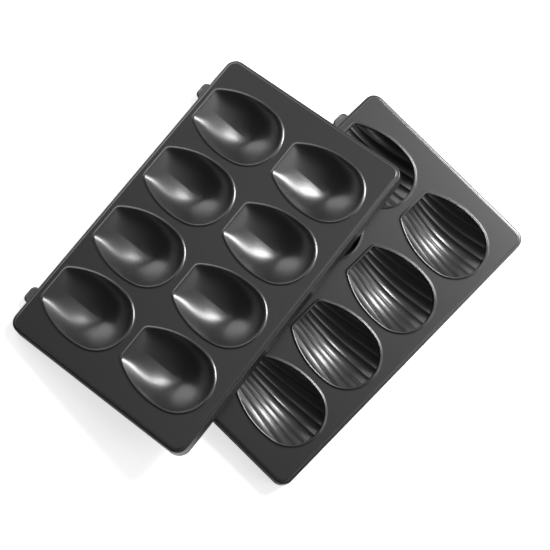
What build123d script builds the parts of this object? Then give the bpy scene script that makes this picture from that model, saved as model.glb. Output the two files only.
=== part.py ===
from build123d import *
from math import hypot, radians, sqrt, tan
import os

# A pair of interchangeable baking plates for a hinged shell-cake maker.
# The ribbed plate lies flat on the undersides of its eight shells. The smooth plate leans on it:
# its lug side stands on the table and its shells lie on the ribbed plate's top.
# Each plate is drawn flat first, top face at height 0 and lugs towards -Y, and is then laid in place.

# Plate
plate_length = 255.0
plate_width = 157.0
corner_radius = 8.5
ceiling_drop = 3.4
skirt_depth = 11.0
skirt_wall = 2.2
skirt_draft_angle = 4.0
ledge_width = 2.0
ledge_drop = 1.6
rim_round = 1.1
ledge_round = 0.5

# Shells: an egg outline with one flat end, in columns and rows, flat ends towards the lugs
shell_columns = 4
shell_rows = 2
column_pitch = 56.6
row_pitch = 73.6
rows_towards_lugs = 1.4
shell_length = 65.0
shell_width = 48.0
side_arc_radius = 62.0
widest_from_flat_end = 35.0
outline_corner_radius = 2.2

# Mouth: a rounded lead-in down to a narrow level land all round each shell
lead_in_width = 1.2
lead_in_round = 2.6
land_width = 0.8
land_drop = 1.4

# Smooth shells and undersides: level outlines that shrink towards the deepest point
smooth_depth = 15.0
shell_wall = 2.0
deepest_share = 0.60
bowl_depth_shares = (0.0, 0.22, 0.48, 0.74, 0.93, 1.0)
bowl_size_shares = (1.0, 0.93, 0.79, 0.58, 0.33, 0.15)
bowl_corner_shares = (1.0, 1.6, 2.4, 2.7, 1.9, 0.9)

# Ribbed shells: hollow flutes that fan out from the flat end, with sharp ridges between them
ribbed_depth = 14.0
flute_count = 6
ridge_pitch = 4.45
fan_angle = 9.6
flute_start = 1.3
flute_sag_share = 0.18
rim_reach = 7.0
station_shares = (0.0, 0.12, 0.30, 0.50, 0.70, 0.88, 1.0)
station_depth_shares = (0.20, 0.52, 0.86, 1.0, 0.93, 0.66, 0.30)
station_width_shares = (0.64, 0.80, 0.96, 1.02, 1.02, 0.95, 0.85)
wall_depth_shares = (0.0, 0.30, 0.70, 1.0)
wall_size_shares = (1.0, 0.965, 0.87, 0.72)
wall_corner_shares = (1.0, 1.4, 1.8, 1.8)
back_depth_shares = (0.0, 0.33, 0.56, 0.78, 0.93, 1.0)
back_size_shares = (1.0, 0.92, 0.77, 0.57, 0.36, 0.18)
back_corner_shares = (1.0, 1.6, 2.2, 2.4, 1.9, 1.0)

# Lugs that hook into the appliance, one nearer its corner than the other
lug_width = 13.0
lug_reach = 4.2
lug_thickness = 4.5
lug_drop = 3.4
lug_from_first_end = 34.0
lug_from_other_end = 26.5
lug_corner_radius = 4.0

# Where the plates lie
ribbed_heading = -134.0
ribbed_place = (40.36, -11.74)
smooth_turn = 6.8
smooth_lean_angle = 12.0
smooth_edge_place = (54.3, -155.4)
smooth_edge_height = 10.95
overrun = 3.0

plate_height = smooth_depth + shell_wall
half_length = plate_length / 2
half_width = plate_width / 2
shell_half_width = shell_width / 2
deepest_from_flat_end = shell_length * deepest_share

# The egg outline's arcs: two long side arcs and one end arc that is tangent to both
side_centre_x = side_arc_radius - shell_half_width
side_past_end = side_arc_radius - shell_length
end_centre = (side_centre_x**2 + widest_from_flat_end**2 - side_past_end**2) / (
    2 * (side_past_end + widest_from_flat_end)
)
flat_end_half = sqrt(side_arc_radius**2 - widest_from_flat_end**2) - side_centre_x
centres_apart = hypot(side_centre_x, end_centre - widest_from_flat_end)
tangent_x = side_arc_radius * side_centre_x / centres_apart - side_centre_x
tangent_y = widest_from_flat_end + side_arc_radius * (end_centre - widest_from_flat_end) / centres_apart


def side_point(distance):
    """Point of the right-hand side arc at a distance from the flat end."""
    return (sqrt(side_arc_radius**2 - (distance - widest_from_flat_end) ** 2) - side_centre_x, distance)


def shell_outline(size=1.0, grow=0.0, corner=outline_corner_radius):
    """The egg outline about the shell's deepest point, scaled by size and then grown all round."""

    def at(x, y):
        return (x * size, (y - deepest_from_flat_end) * size)

    middle_x, middle_y = side_point(tangent_y / 2)
    with BuildSketch() as outline:
        with BuildLine():
            Line(at(-flat_end_half, 0), at(flat_end_half, 0))
            ThreePointArc(at(flat_end_half, 0), at(middle_x, middle_y), at(tangent_x, tangent_y))
            ThreePointArc(at(tangent_x, tangent_y), at(0, shell_length), at(-tangent_x, tangent_y))
            ThreePointArc(at(-tangent_x, tangent_y), at(-middle_x, middle_y), at(-flat_end_half, 0))
        make_face()
        fillet(outline.vertices().group_by(Axis.Y)[0], radius=corner)
        if grow > 0:
            offset(amount=grow, kind=Kind.ARC)
    return outline.sketch


def bowl(top, bottom, grow, depth_shares, size_shares, corner_shares):
    """A smooth hollow form: level outlines lofted from height -top down to height -bottom."""
    with BuildPart() as form:
        for depth_share, size, corner_share in zip(depth_shares, size_shares, corner_shares):
            outline = shell_outline(size, grow, outline_corner_radius * corner_share)
            with BuildSketch(Plane.XY.offset(-top - (bottom - top) * depth_share)):
                add(outline)
        loft()
    return form.part


def rounded_sheet(length, width, radius):
    """A rounded rectangle on the plate's centre."""
    with BuildSketch() as sheet:
        RectangleRounded(length, width, radius)
    return sheet.sketch


def ridge_x(number, distance):
    """How far ridge number lies from the centre line at a distance from the flat end."""
    outermost = flute_count / 2
    return number * (ridge_pitch + distance * tan(radians(fan_angle)) / outermost)


def floor_z(x, depth, reach):
    """Height of the ridges' floor across a shell that is depth deep and reach wide each side."""
    return -land_drop - (depth - land_drop) * (1 - (x / reach) ** 2)


# Undersides of the shells, one wall outside the hollows
back_top = ceiling_drop - shell_wall
smooth_back = bowl(back_top, plate_height, shell_wall, bowl_depth_shares, bowl_size_shares, bowl_corner_shares)
ribbed_back = bowl(back_top, plate_height, shell_wall, back_depth_shares, back_size_shares, back_corner_shares)

# The mouth that is sunk round each shell
with BuildPart() as mouth:
    for height, grow in ((0, land_width + lead_in_width), (-land_drop, land_width)):
        mouth_outline = shell_outline(1.0, grow)
        with BuildSketch(Plane.XY.offset(height)):
            add(mouth_outline)
    loft(ruled=True)

# The smooth shell's hollow, from the land down
smooth_hollow = bowl(land_drop, smooth_depth, 0, bowl_depth_shares, bowl_size_shares, bowl_corner_shares)

# The ribbed shell's hollow: fluted sections lofted along the shell, kept inside a steep egg wall
steep_wall = bowl(land_drop, ribbed_depth + overrun, 0, wall_depth_shares, wall_size_shares, wall_corner_shares)

with BuildPart() as ribbed_hollow:
    for share, depth_share, width_share in zip(station_shares, station_depth_shares, station_width_shares):
        distance = flute_start + (shell_length - flute_start) * share
        depth = ribbed_depth * depth_share
        reach = shell_half_width * width_share
        ridges = []
        for number in range(-flute_count // 2, flute_count // 2 + 1):
            x = ridge_x(number, distance)
            ridges.append((x, floor_z(x, depth, reach)))
        brim_x = ridge_x(flute_count / 2, distance) + rim_reach
        brim_z = max(floor_z(brim_x, depth, reach), -land_drop + land_width)
        chain = [(-brim_x, brim_z)] + ridges + [(brim_x, brim_z)]
        station = Plane(origin=(0, distance - deepest_from_flat_end, 0), x_dir=(1, 0, 0), z_dir=(0, -1, 0))
        with BuildSketch(station):
            with BuildLine():
                for start, end in zip(chain, chain[1:]):
                    chord_x, chord_z = end[0] - start[0], end[1] - start[1]
                    sag = ((start[0] + end[0]) / 2 + chord_z * flute_sag_share,
                           (start[1] + end[1]) / 2 - chord_x * flute_sag_share)
                    ThreePointArc(start, sag, end)
                top_z = plate_height
                Polyline(chain[-1], (brim_x, top_z), (-brim_x, top_z), chain[0])
            make_face()
    loft()
    add(steep_wall, mode=Mode.INTERSECT)

# Places of the shells and lugs
shell_centre_y = deepest_from_flat_end - shell_length / 2 - rows_towards_lugs
shell_points = []
for column in range(shell_columns):
    for row in range(shell_rows):
        shell_x = (column - (shell_columns - 1) / 2) * column_pitch
        shell_points.append((shell_x, shell_centre_y + (row - (shell_rows - 1) / 2) * row_pitch))
lug_points = (-half_length + lug_from_first_end, half_length - lug_from_other_end)
skirt_flare = (skirt_depth - ledge_drop) * tan(radians(skirt_draft_angle))

ledge_sheet = rounded_sheet(plate_length, plate_width, corner_radius)
plateau_sheet = rounded_sheet(plate_length - 2 * ledge_width, plate_width - 2 * ledge_width, corner_radius - ledge_width)
inside_sheet = rounded_sheet(plate_length - 2 * skirt_wall, plate_width - 2 * skirt_wall, corner_radius - skirt_wall)


def casting(back):
    """A bare casting: plateau, ledge, skirt, hollow underside, the backs of the shells, lugs and mouths."""
    with BuildPart() as cast:
        extrude(Plane.XY.offset(-ledge_drop) * ledge_sheet, amount=ledge_drop - skirt_depth, taper=-skirt_draft_angle)
        fillet(cast.edges().group_by(Axis.Z)[-1], radius=ledge_round)
        extrude(Plane.XY.offset(-ledge_drop) * plateau_sheet, amount=ledge_drop)
        fillet(cast.edges().group_by(Axis.Z)[-1], radius=rim_round)
        extrude(
            Plane.XY.offset(-ceiling_drop) * inside_sheet,
            amount=ceiling_drop - skirt_depth,
            taper=-skirt_draft_angle,
            mode=Mode.SUBTRACT,
        )
        with Locations(*shell_points):
            add(back)
        # The lugs grow out of the skirt on the lug side
        for lug_x in lug_points:
            with BuildSketch(Plane.XY.offset(-lug_drop)):
                with Locations((lug_x, -half_width)):
                    RectangleRounded(lug_width, 2 * (skirt_flare + lug_reach), lug_corner_radius)
            extrude(amount=-lug_thickness)
        with Locations(*shell_points):
            add(mouth.part, mode=Mode.SUBTRACT)
        top_loops = cast.faces().sort_by(Axis.Z)[-1].inner_wires()
        fillet([edge for loop in top_loops for edge in loop.edges()], radius=lead_in_round)
    return cast.part


# Resting places: the ribbed plate flat on the table, the smooth one turned and leaning on it
ribbed_rest = Location((*ribbed_place, plate_height), (0, 0, ribbed_heading))
lean_edge = Location((*smooth_edge_place, smooth_edge_height - plate_height), (0, 0, smooth_turn))
smooth_rest = ribbed_rest * lean_edge * Location((0, 0, 0), (smooth_lean_angle, 0, 0)) * Location((0, half_width, 0))

with BuildPart() as ribbed_plate:
    with Locations(ribbed_rest):
        add(casting(ribbed_back))
    with Locations(*[ribbed_rest * Location((x, y, 0)) for x, y in shell_points]):
        add(ribbed_hollow.part, mode=Mode.SUBTRACT)

with BuildPart() as smooth_plate:
    with Locations(smooth_rest):
        add(casting(smooth_back))
    with Locations(*[smooth_rest * Location((x, y, 0)) for x, y in shell_points]):
        add(smooth_hollow, mode=Mode.SUBTRACT)

os.makedirs("parts", exist_ok=True)
ribbed_plate.part.label = "ribbed_plate"
smooth_plate.part.label = "smooth_plate"
export_step(ribbed_plate.part, "parts/ribbed_plate.step")
export_step(smooth_plate.part, "parts/smooth_plate.step")
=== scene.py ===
from math import atan2, cos, exp, hypot, pi, radians, sin, sqrt, tan

import bmesh
import bpy
from mathutils import Matrix, Vector


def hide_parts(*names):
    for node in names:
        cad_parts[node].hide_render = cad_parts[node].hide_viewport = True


# Sizes are in millimetres, or in metres where a name ends in M. Angles are in degrees
mmPerM = 1000

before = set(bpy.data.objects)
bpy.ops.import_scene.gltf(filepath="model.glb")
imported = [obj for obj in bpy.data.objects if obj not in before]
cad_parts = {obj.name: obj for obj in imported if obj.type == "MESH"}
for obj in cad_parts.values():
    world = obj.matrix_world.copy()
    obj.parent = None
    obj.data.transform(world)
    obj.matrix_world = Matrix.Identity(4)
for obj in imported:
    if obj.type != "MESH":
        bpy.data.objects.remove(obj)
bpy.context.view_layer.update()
print("frame loaded")


# Materials

def linear(hexColour):
    # An sRGB hex colour, made linear by the sRGB standard's own curve
    channels = [int(hexColour[i:i + 2], 16) / 255 for i in (1, 3, 5)]
    lit = [c / 12.92 if c <= 0.04045 else ((c + 0.055) / 1.055) ** 2.4 for c in channels]
    return (*lit, 1.0)


def addNode(tree, kind, settings=None, links=None):
    # Settings go to the node itself or else to its sockets. Links name a socket and its source
    node = tree.nodes.new(kind)
    for key, value in (settings or {}).items():
        if hasattr(node, key):
            setattr(node, key, value)
        else:
            node.inputs[key].default_value = value
    for key, source in (links or {}).items():
        tree.links.new(source, node.inputs[key])
    return node


def emptyMaterial(name):
    material = bpy.data.materials.new(name)
    material.use_nodes = True
    material.node_tree.nodes.clear()
    return material, material.node_tree


coating = {
    "colour": "#171718",
    "paler": "#1e1e20",  # the tops of the grain
    "roughness": 0.52,
    "roughnessSpread": 0.03,
    "ior": 1.5,
    "specular": 0.30,
    "coatWeight": 1.0,
    "coatRoughness": 0.29,
    "coatIor": 1.75,  # above the 1.35 or so of PTFE, matched to the brightness of the sheen
    "grainMm": 0.8,  # the sprayed grain, drawn coarser than the real one so that it shows
    "grainHeightMm": 0.060,
    "grainStrength": 0.6,
    "cloudMm": 9.0,  # wide patches that are a little rougher or smoother
    "noiseDetail": 2.0,
}


def nonStickCoating():
    # PTFE non-stick sprayed over cast aluminium and baked: nearly black, a broad soft sheen
    # under a tighter one, and a fine sprayed grain that breaks up the highlights
    material, tree = emptyMaterial("sprayed PTFE on cast aluminium")
    place = addNode(tree, "ShaderNodeTexCoord").outputs["Object"]
    grain = addNode(tree, "ShaderNodeTexNoise",
                    {"Scale": mmPerM / coating["grainMm"], "Detail": coating["noiseDetail"]},
                    {"Vector": place}).outputs["Fac"]
    cloud = addNode(tree, "ShaderNodeTexNoise",
                    {"Scale": mmPerM / coating["cloudMm"], "Detail": coating["noiseDetail"]},
                    {"Vector": place}).outputs["Fac"]
    tone = addNode(tree, "ShaderNodeMix",
                   {"data_type": "RGBA", "A": linear(coating["colour"]), "B": linear(coating["paler"])},
                   {"Factor": grain}).outputs["Result"]
    spread = addNode(tree, "ShaderNodeMapRange",
                     {"To Min": coating["roughness"] - coating["roughnessSpread"],
                      "To Max": coating["roughness"] + coating["roughnessSpread"]},
                     {"Value": cloud}).outputs["Result"]
    bump = addNode(tree, "ShaderNodeBump",
                   {"Strength": coating["grainStrength"],
                    "Distance": coating["grainHeightMm"] / mmPerM},
                   {"Height": grain}).outputs["Normal"]
    shader = addNode(tree, "ShaderNodeBsdfPrincipled",
                     {"IOR": coating["ior"], "Specular IOR Level": coating["specular"],
                      "Coat Weight": coating["coatWeight"], "Coat IOR": coating["coatIor"],
                      "Coat Roughness": coating["coatRoughness"]},
                     {"Base Color": tone, "Roughness": spread, "Normal": bump, "Coat Normal": bump})
    addNode(tree, "ShaderNodeOutputMaterial", links={"Surface": shader.outputs["BSDF"]})
    return material


# Where the plates lie, as in the CAD. The smooth one is turned and leaned about its lower edge

lying = {
    "plateHeight": 17.0, "plateWidth": 157.0,
    "ribbedAt": (40.36, -11.74), "ribbedHeading": -134.0,
    "smoothEdgeAt": (54.3, -155.4),  # on the ribbed plate's own axes
    "smoothEdgeHeight": 10.95,  # above the table
    "smoothTurn": 6.8, "smoothLean": 12.0,
}


def placed(x, y, z, turn=0.0, lean=0.0):
    return (Matrix.Translation((x, y, z)) @ Matrix.Rotation(radians(turn), 4, "Z")
            @ Matrix.Rotation(radians(lean), 4, "X"))


def platePlaces():
    ribbed = placed(*lying["ribbedAt"], lying["plateHeight"], turn=lying["ribbedHeading"])
    edge = placed(*lying["smoothEdgeAt"], lying["smoothEdgeHeight"] - lying["plateHeight"],
                  turn=lying["smoothTurn"], lean=lying["smoothLean"])
    smooth = ribbed @ edge @ placed(0, lying["plateWidth"] / 2, 0)
    return ribbed, smooth


# The shells' egg outline, as in the CAD: two long side arcs, a round end and a flat end.
# Places on it are measured from the shell's deepest point

shells = {
    "columns": 4, "rows": 2, "columnPitch": 56.6, "rowPitch": 73.6, "towardsLugs": 1.4,
    "length": 65.0, "width": 48.0, "sideRadius": 62.0,
    "widestFromFlatEnd": 35.0, "deepestFromFlatEnd": 39.0,
    "outlinePoints": 160,
}
flatEnd = -shells["deepestFromFlatEnd"]
roundEnd = flatEnd + shells["length"]
sideX = shells["sideRadius"] - shells["width"] / 2
sideY = flatEnd + shells["widestFromFlatEnd"]
sidePastEnd = shells["sideRadius"] - roundEnd
endY = (sideX**2 + sideY**2 - sidePastEnd**2) / (2 * (sidePastEnd + sideY))  # touches both side arcs
endRadius = roundEnd - endY
endFrom = sideY + shells["sideRadius"] * (endY - sideY) / (shells["sideRadius"] - endRadius)


def shellGrid():
    places = []
    deepestFromMiddle = shells["deepestFromFlatEnd"] - shells["length"] / 2
    for column in range(shells["columns"]):
        x = shells["columnPitch"] * (column - (shells["columns"] - 1) / 2)
        for row in range(shells["rows"]):
            y = shells["rowPitch"] * (row - (shells["rows"] - 1) / 2)
            places.append((x, y + deepestFromMiddle - shells["towardsLugs"]))
    return places


shellPlaces = shellGrid()


def eggRadius(angle, sharpness):
    # Distance from the deepest point to the outline. Less sharpness rounds the flat end's corners
    across, along = abs(cos(angle)), sin(angle)
    dot = sideY * along - sideX * across
    reach = dot + sqrt(dot**2 - sideX**2 - sideY**2 + shells["sideRadius"]**2)
    if reach * along > endFrom:
        dot = endY * along
        reach = dot + sqrt(dot**2 - endY**2 + endRadius**2)
    if along < 0:
        flat = flatEnd / along
        reach = (reach**-sharpness + flat**-sharpness) ** (-1 / sharpness)
    return reach


def eggRing(size, sharpness, grow=0.0):
    # The outline scaled by size, then grown all round
    count = shells["outlinePoints"]
    ring = []
    for i in range(count):
        angle = 2 * pi * i / count
        reach = size * eggRadius(angle, sharpness)
        ring.append((reach * cos(angle), reach * sin(angle)))
    if grow == 0:
        return ring
    grown = []
    for i, (x, y) in enumerate(ring):
        alongX = ring[(i + 1) % count][0] - ring[i - 1][0]
        alongY = ring[(i + 1) % count][1] - ring[i - 1][1]
        length = hypot(alongX, alongY)
        grown.append((x + grow * alongY / length, y - grow * alongX / length))
    return grown


# The rounded lip round each shell, from its foot on the plateau to the wall of the hollow.
# Each point of its profile is (outwards from the rim, height above the plateau)

lip = {
    "height": 0.6,
    "profile": (
        (3.9, -0.25), (3.45, -0.03), (3.2, 0.0), (2.9, 0.0), (2.3, 0.0),
        (2.0, 0.04), (1.75, 0.13), (1.5, 0.28), (1.25, 0.43), (1.02, 0.55),
        (0.8, 0.6), (0.6, 0.59), (0.4, 0.545), (0.2, 0.47), (0.06, 0.40),
    ),
}

# The hollows, as rings that shrink and sink. Less fullness gives steeper walls and a flatter
# floor. A ribbed shell's rings are its wall alone, and stop below the flutes, which hide their
# end from above but not from below

hollows = {
    "smooth": {"bottom": -15.0, "fullness": 0.80, "rampFullness": 1.05, "steps": 20, "stop": 0.0},
    "ribbed": {"bottom": -22.3, "fullness": 0.35, "rampFullness": 0.35, "steps": 26, "stop": 0.74},
    "power": 1.6,
    "rimSharpness": 98.0, "deepSharpness": 2.3,  # of the flat end's corners
    "fade": 0.09,  # how soon below the rim the corners turn round
}


def hollowRings(kind):
    rings = []
    for grow, height in lip["profile"]:
        rings.append([(x, y, height) for x, y in eggRing(1.0, hollows["rimSharpness"], grow)])
    form = hollows[kind]
    rim = lip["profile"][-1][1]
    for step in range(1, form["steps"]):
        size = cos(pi / 2 * step / form["steps"])
        if size < form["stop"]:
            break
        fade = exp(-(1 - size) / hollows["fade"])
        sharpened = (hollows["rimSharpness"] - hollows["deepSharpness"]) * fade
        ring = []
        for x, y in eggRing(size, hollows["deepSharpness"] + sharpened):
            ramp = max(0.0, -y / hypot(x, y)) ** 2  # a smooth shell's flat end slopes in gently
            fullness = form["fullness"] + (form["rampFullness"] - form["fullness"]) * ramp
            share = (1 - size ** hollows["power"]) ** fullness
            ring.append((x, y, rim - (rim - form["bottom"]) * share))
        rings.append(ring)
    return rings


# The flutes of a ribbed shell: arcs between ridges that fan out from the flat end.
# The shares are what the depth and the width are at the first end, at the last end and at
# their largest, and how far along the shell the largest is

flutes = {
    "count": 6, "pitch": 4.45, "fan": 9.6, "depth": 14.0, "start": 1.3, "endGap": 0.15,
    "depthShares": (0.20, 0.30, 1.0, 0.50), "widthShares": (0.64, 0.85, 1.02, 0.58),
    "sag": 0.14,  # share of a flute's width
    "brim": 7.0, "brimLowest": 1.4,  # outside the last ridges the bed runs on through the wall
    "lowEnough": -0.2,  # a piece of the bed is shown only where it lies lower than this
    "stations": 44, "across": (0.0, 0.05, 0.12, 0.25, 0.4, 0.6, 0.75, 0.88, 0.95),
}


def hump(share, first, last, top, topShare):
    if share < topShare:
        return top - (top - first) * (1 - share / topShare) ** 2
    return top - (top - last) * ((share - topShare) / (1 - topShare)) ** 2


def arcBetween(start, end, sag):
    # Points of a circular arc that hangs below its chord, ridge to ridge
    chordX, chordZ = end[0] - start[0], end[1] - start[1]
    half = 2 * atan2(2 * sag, 1)
    points = []
    for share in flutes["across"]:
        turn = half * (2 * share - 1)
        along = 0.5 + sin(turn) / (2 * sin(half))
        below = (cos(turn) - cos(half)) / (2 * sin(half))
        points.append((start[0] + chordX * along + chordZ * below,
                       start[1] + chordZ * along - chordX * below))
    return points


def bedHeight(x, depth, reach):
    return lip["height"] - (depth + lip["height"]) * (1 - (x / reach) ** 2)


def fluteRows():
    rows = []
    bedLength = shells["length"] - 2 * flutes["endGap"]
    for station in range(flutes["stations"] + 1):
        distance = flutes["endGap"] + bedLength * station / flutes["stations"]
        share = (distance - flutes["start"]) / (shells["length"] - flutes["start"])
        depth = flutes["depth"] * hump(share, *flutes["depthShares"])
        reach = shells["width"] / 2 * hump(share, *flutes["widthShares"])
        half = flutes["count"] // 2
        pitch = flutes["pitch"] + distance * tan(radians(flutes["fan"])) / half
        ridges = [(i * pitch, bedHeight(i * pitch, depth, reach)) for i in range(-half, half + 1)]
        brimX = ridges[-1][0] + flutes["brim"]
        brimZ = max(bedHeight(brimX, depth, reach), flutes["brimLowest"])
        chain = [(-brimX, brimZ), *ridges, (brimX, brimZ)]
        row = [point for a, b in zip(chain, chain[1:]) for point in arcBetween(a, b, flutes["sag"])]
        rows.append([(x, distance + flatEnd, z) for x, z in [*row, chain[-1]]])
    return rows


# The two plates: the CAD meshes, with finer lips and hollows in place of their facets

plates = {
    "weldMm": 0.001,
    "creaseAngle": 32.0,
    "facingUp": -0.02,  # least upward lean of a face that may be replaced
    "mouthReach": 3.6, "mouthTop": -0.0005, "mouthDepth": 1.6,  # where the solid's mouth is found
    "hollowReach": 0.05,
    "normalWeight": 50,
}


def coatedCopy(nodeName, material):
    # A copy of the node's mesh, its loose triangles merged
    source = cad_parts[nodeName]
    plate = source.copy()
    plate.data = source.data.copy()
    plate.name = nodeName + "_cast"
    bpy.context.collection.objects.link(plate)
    plate.data.materials.clear()
    plate.data.materials.append(material)
    bpy.ops.object.select_all(action="DESELECT")
    plate.select_set(True)
    bpy.context.view_layer.objects.active = plate
    bpy.ops.object.mode_set(mode="EDIT")
    bpy.ops.mesh.select_all(action="SELECT")
    bpy.ops.mesh.remove_doubles(threshold=plates["weldMm"] / mmPerM)
    bpy.ops.object.mode_set(mode="OBJECT")
    bpy.ops.object.shade_smooth_by_angle(angle=radians(plates["creaseAngle"]))
    return plate


def insideShell(x, y, grow):
    for shellX, shellY in shellPlaces:
        awayX, awayY = x - shellX, y - shellY
        reach = eggRadius(atan2(awayY, awayX), hollows["rimSharpness"])
        if hypot(awayX, awayY) < reach + grow:
            return True
    return False


def removeCoarse(form, place):
    # Takes away the faceted mouths, hollows and flutes, and leaves the underside
    toPlate = place.inverted()
    coarse = []
    for face in form.faces:
        if (toPlate.to_3x3() @ face.normal).z <= plates["facingUp"]:
            continue
        centre = toPlate @ (face.calc_center_median() * mmPerM)
        inMouth = (-plates["mouthDepth"] < centre.z < plates["mouthTop"]
                   and insideShell(centre.x, centre.y, plates["mouthReach"]))
        if inMouth or insideShell(centre.x, centre.y, plates["hollowReach"]):
            coarse.append(face)
    bmesh.ops.delete(form, geom=coarse, context="FACES")


def addPoints(form, at, points):
    return [form.verts.new((at @ Vector(point)) / mmPerM) for point in points]


def addHollow(form, at, rings, closed):
    loops = [addPoints(form, at, ring) for ring in rings]
    for outer, inner in zip(loops, loops[1:]):
        for i in range(len(outer)):
            k = (i + 1) % len(outer)
            form.faces.new((outer[i], outer[k], inner[k], inner[i])).smooth = True
    if closed:
        last = loops[-1]
        bottom = addPoints(form, at, [(0, 0, hollows["smooth"]["bottom"])])[0]
        for i in range(len(last)):
            form.faces.new((last[i], last[(i + 1) % len(last)], bottom)).smooth = True


def addFlutes(form, at, rows):
    grid = [addPoints(form, at, row) for row in rows]
    for low, high, lowRow, highRow in zip(grid, grid[1:], rows, rows[1:]):
        for i in range(len(low) - 1):
            corners = (lowRow[i], lowRow[i + 1], highRow[i], highRow[i + 1])
            if max(z for x, y, z in corners) < flutes["lowEnough"]:
                form.faces.new((low[i], low[i + 1], high[i + 1], high[i])).smooth = True


def finerPlate(nodeName, kind, place, material):
    plate = coatedCopy(nodeName, material)
    form = bmesh.new()
    form.from_mesh(plate.data)
    removeCoarse(form, place)
    rings = hollowRings(kind)
    rows = fluteRows() if kind == "ribbed" else []
    for shellX, shellY in shellPlaces:
        at = place @ Matrix.Translation((shellX, shellY, 0))
        addHollow(form, at, rings, closed=kind == "smooth")
        addFlutes(form, at, rows)
    loose = [point for point in form.verts if not point.link_faces]
    bmesh.ops.delete(form, geom=loose, context="VERTS")
    form.to_mesh(plate.data)
    form.free()
    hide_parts(nodeName)
    even = plate.modifiers.new("even normals", "WEIGHTED_NORMAL")
    even.keep_sharp = True
    even.weight = plates["normalWeight"]
    bpy.ops.object.modifier_apply(modifier=even.name)


nonStick = nonStickCoating()
ribbedPlace, smoothPlace = platePlaces()
finerPlate("ribbed_plate", "ribbed", ribbedPlace, nonStick)
finerPlate("smooth_plate", "smooth", smoothPlace, nonStick)
print("plates finished and coated")


# Table, background and studio light

table = {
    "colour": "#fcfcfc", "sizeM": 6.0, "dropM": 0.0003,
    "liftColour": "#ffffff", "lift": 0.70, "farLift": 1.0, "nearM": 0.7, "farM": 1.9,
}


def whiteTable():
    # Matt white paper: lit to white, with a little lift for the camera alone, so shadows stay
    # soft. Far from the plates, out of the lamps' reach, the lift grows to white
    material, tree = emptyMaterial("matt white paper")
    seen = addNode(tree, "ShaderNodeLightPath").outputs["Is Camera Ray"]
    place = addNode(tree, "ShaderNodeTexCoord").outputs["Object"]
    away = addNode(tree, "ShaderNodeVectorMath", {"operation": "LENGTH"},
                   {"Vector": place}).outputs["Value"]
    strength = addNode(tree, "ShaderNodeMapRange",
                       {"From Min": table["nearM"], "From Max": table["farM"],
                        "To Min": table["lift"], "To Max": table["farLift"]},
                       {"Value": away}).outputs["Result"]
    lift = addNode(tree, "ShaderNodeMath", {"operation": "MULTIPLY"},
                   {0: seen, 1: strength}).outputs["Value"]
    paper = addNode(tree, "ShaderNodeBsdfDiffuse", {"Color": linear(table["colour"])})
    glow = addNode(tree, "ShaderNodeEmission",
                   {"Color": linear(table["liftColour"])}, {"Strength": lift})
    both = addNode(tree, "ShaderNodeAddShader",
                   links={0: paper.outputs["BSDF"], 1: glow.outputs["Emission"]})
    addNode(tree, "ShaderNodeOutputMaterial", links={"Surface": both.outputs["Shader"]})
    bpy.ops.mesh.primitive_plane_add(size=table["sizeM"], location=(0, 0, -table["dropM"]))
    floor = bpy.context.object
    floor.name = "table"
    floor.data.materials.append(material)


studio = {
    "white": "#ffffff",
    "dim": "#424242",
    "horizonBand": 0.12,
    # name: (compass direction it comes from, height angle, distance M, width M, tallness M, watts)
    "lamps": {
        "key": (36, 44, 2.2, 0.85, 0.85, 50.0),
        "low right": (30, 25, 2.2, 1.10, 0.70, 6.0),
        "far left": (116, 17, 2.2, 2.70, 1.60, 21.0),
        "near right": (345, 42, 2.2, 0.90, 1.50, 7.0),
        "overhead": (105, 70, 2.2, 1.80, 1.40, 2.2),
    },
}


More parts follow.
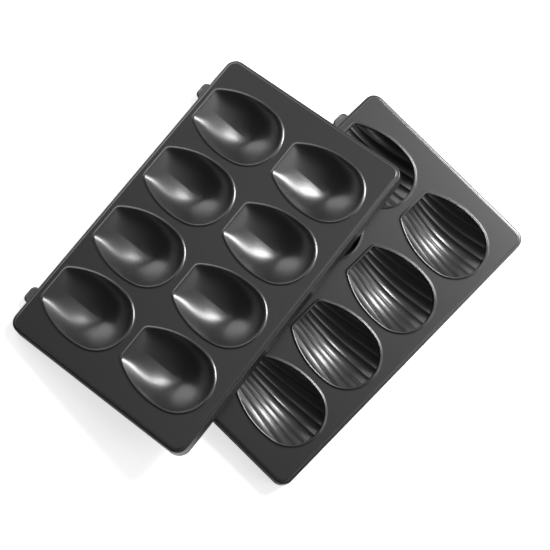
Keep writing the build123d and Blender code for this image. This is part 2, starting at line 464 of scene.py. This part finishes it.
def studioWorld():
    # The camera sees white all round. Reflections see white only near the horizon, where a
    # paper backdrop would stand, and the dim studio above it
    world = bpy.data.worlds.new("studio")
    bpy.context.scene.world = world
    world.use_nodes = True
    tree = world.node_tree
    tree.nodes.clear()
    ray = addNode(tree, "ShaderNodeLightPath").outputs
    direction = addNode(tree, "ShaderNodeTexCoord").outputs["Generated"]
    height = addNode(tree, "ShaderNodeSeparateXYZ", links={"Vector": direction}).outputs["Z"]
    low = addNode(tree, "ShaderNodeMapRange",
                  {"From Min": studio["horizonBand"], "From Max": 0.0, "To Min": 0.0, "To Max": 1.0},
                  {"Value": height}).outputs["Result"]
    shiny = addNode(tree, "ShaderNodeMath", {"operation": "MAXIMUM"},
                    {0: ray["Is Glossy Ray"], 1: ray["Is Transmission Ray"]}).outputs["Value"]
    lowShiny = addNode(tree, "ShaderNodeMath", {"operation": "MULTIPLY"},
                       {0: shiny, 1: low}).outputs["Value"]
    white = addNode(tree, "ShaderNodeMath", {"operation": "MAXIMUM"},
                    {0: ray["Is Camera Ray"], 1: lowShiny}).outputs["Value"]
    colour = addNode(tree, "ShaderNodeMix",
                     {"data_type": "RGBA", "A": linear(studio["dim"]), "B": linear(studio["white"])},
                     {"Factor": white}).outputs["Result"]
    shade = addNode(tree, "ShaderNodeBackground", links={"Color": colour})
    addNode(tree, "ShaderNodeOutputWorld", links={"Surface": shade.outputs["Background"]})


def aimed(compass, height, distance):
    # The point at that distance from the origin, and the turn that looks back at the origin
    turn = Matrix.Rotation(radians(compass), 3, "Z") @ Matrix.Rotation(radians(-height), 3, "Y")
    place = turn @ Vector((distance, 0, 0))
    return place, place.to_track_quat("Z", "Y").to_euler()


def studioLamps():
    for name, (compass, height, distance, width, tallness, power) in studio["lamps"].items():
        lamp = bpy.data.lights.new(name, "AREA")
        lamp.shape = "ELLIPSE"
        lamp.size = width
        lamp.size_y = tallness
        lamp.energy = power
        holder = bpy.data.objects.new(name, lamp)
        holder.location, holder.rotation_euler = aimed(compass, height, distance)
        bpy.context.collection.objects.link(holder)


whiteTable()
studioWorld()
studioLamps()
print("table, world and lamps placed")


# Camera: almost straight above, as in the photo

camera = {
    "placeMm": (-46.8, -160.0, 848.1),
    "turn": (8.990, -5.784, 0.305),
    "lensMm": 77.41, "sensorMm": 36.0,
    "shift": (-0.0909, 0.0545),
    "clipStartM": 0.01,
}


def photoCamera():
    eye = bpy.data.objects.new("camera", bpy.data.cameras.new("camera"))
    bpy.context.collection.objects.link(eye)
    eye.location = Vector(camera["placeMm"]) / mmPerM
    eye.rotation_euler = [radians(angle) for angle in camera["turn"]]
    eye.data.lens = camera["lensMm"]
    eye.data.sensor_width = camera["sensorMm"]
    eye.data.shift_x, eye.data.shift_y = camera["shift"]
    eye.data.clip_start = camera["clipStartM"]
    return eye


scene = bpy.context.scene
scene.camera = photoCamera()
scene.view_settings.view_transform = "Standard"
print("camera placed")
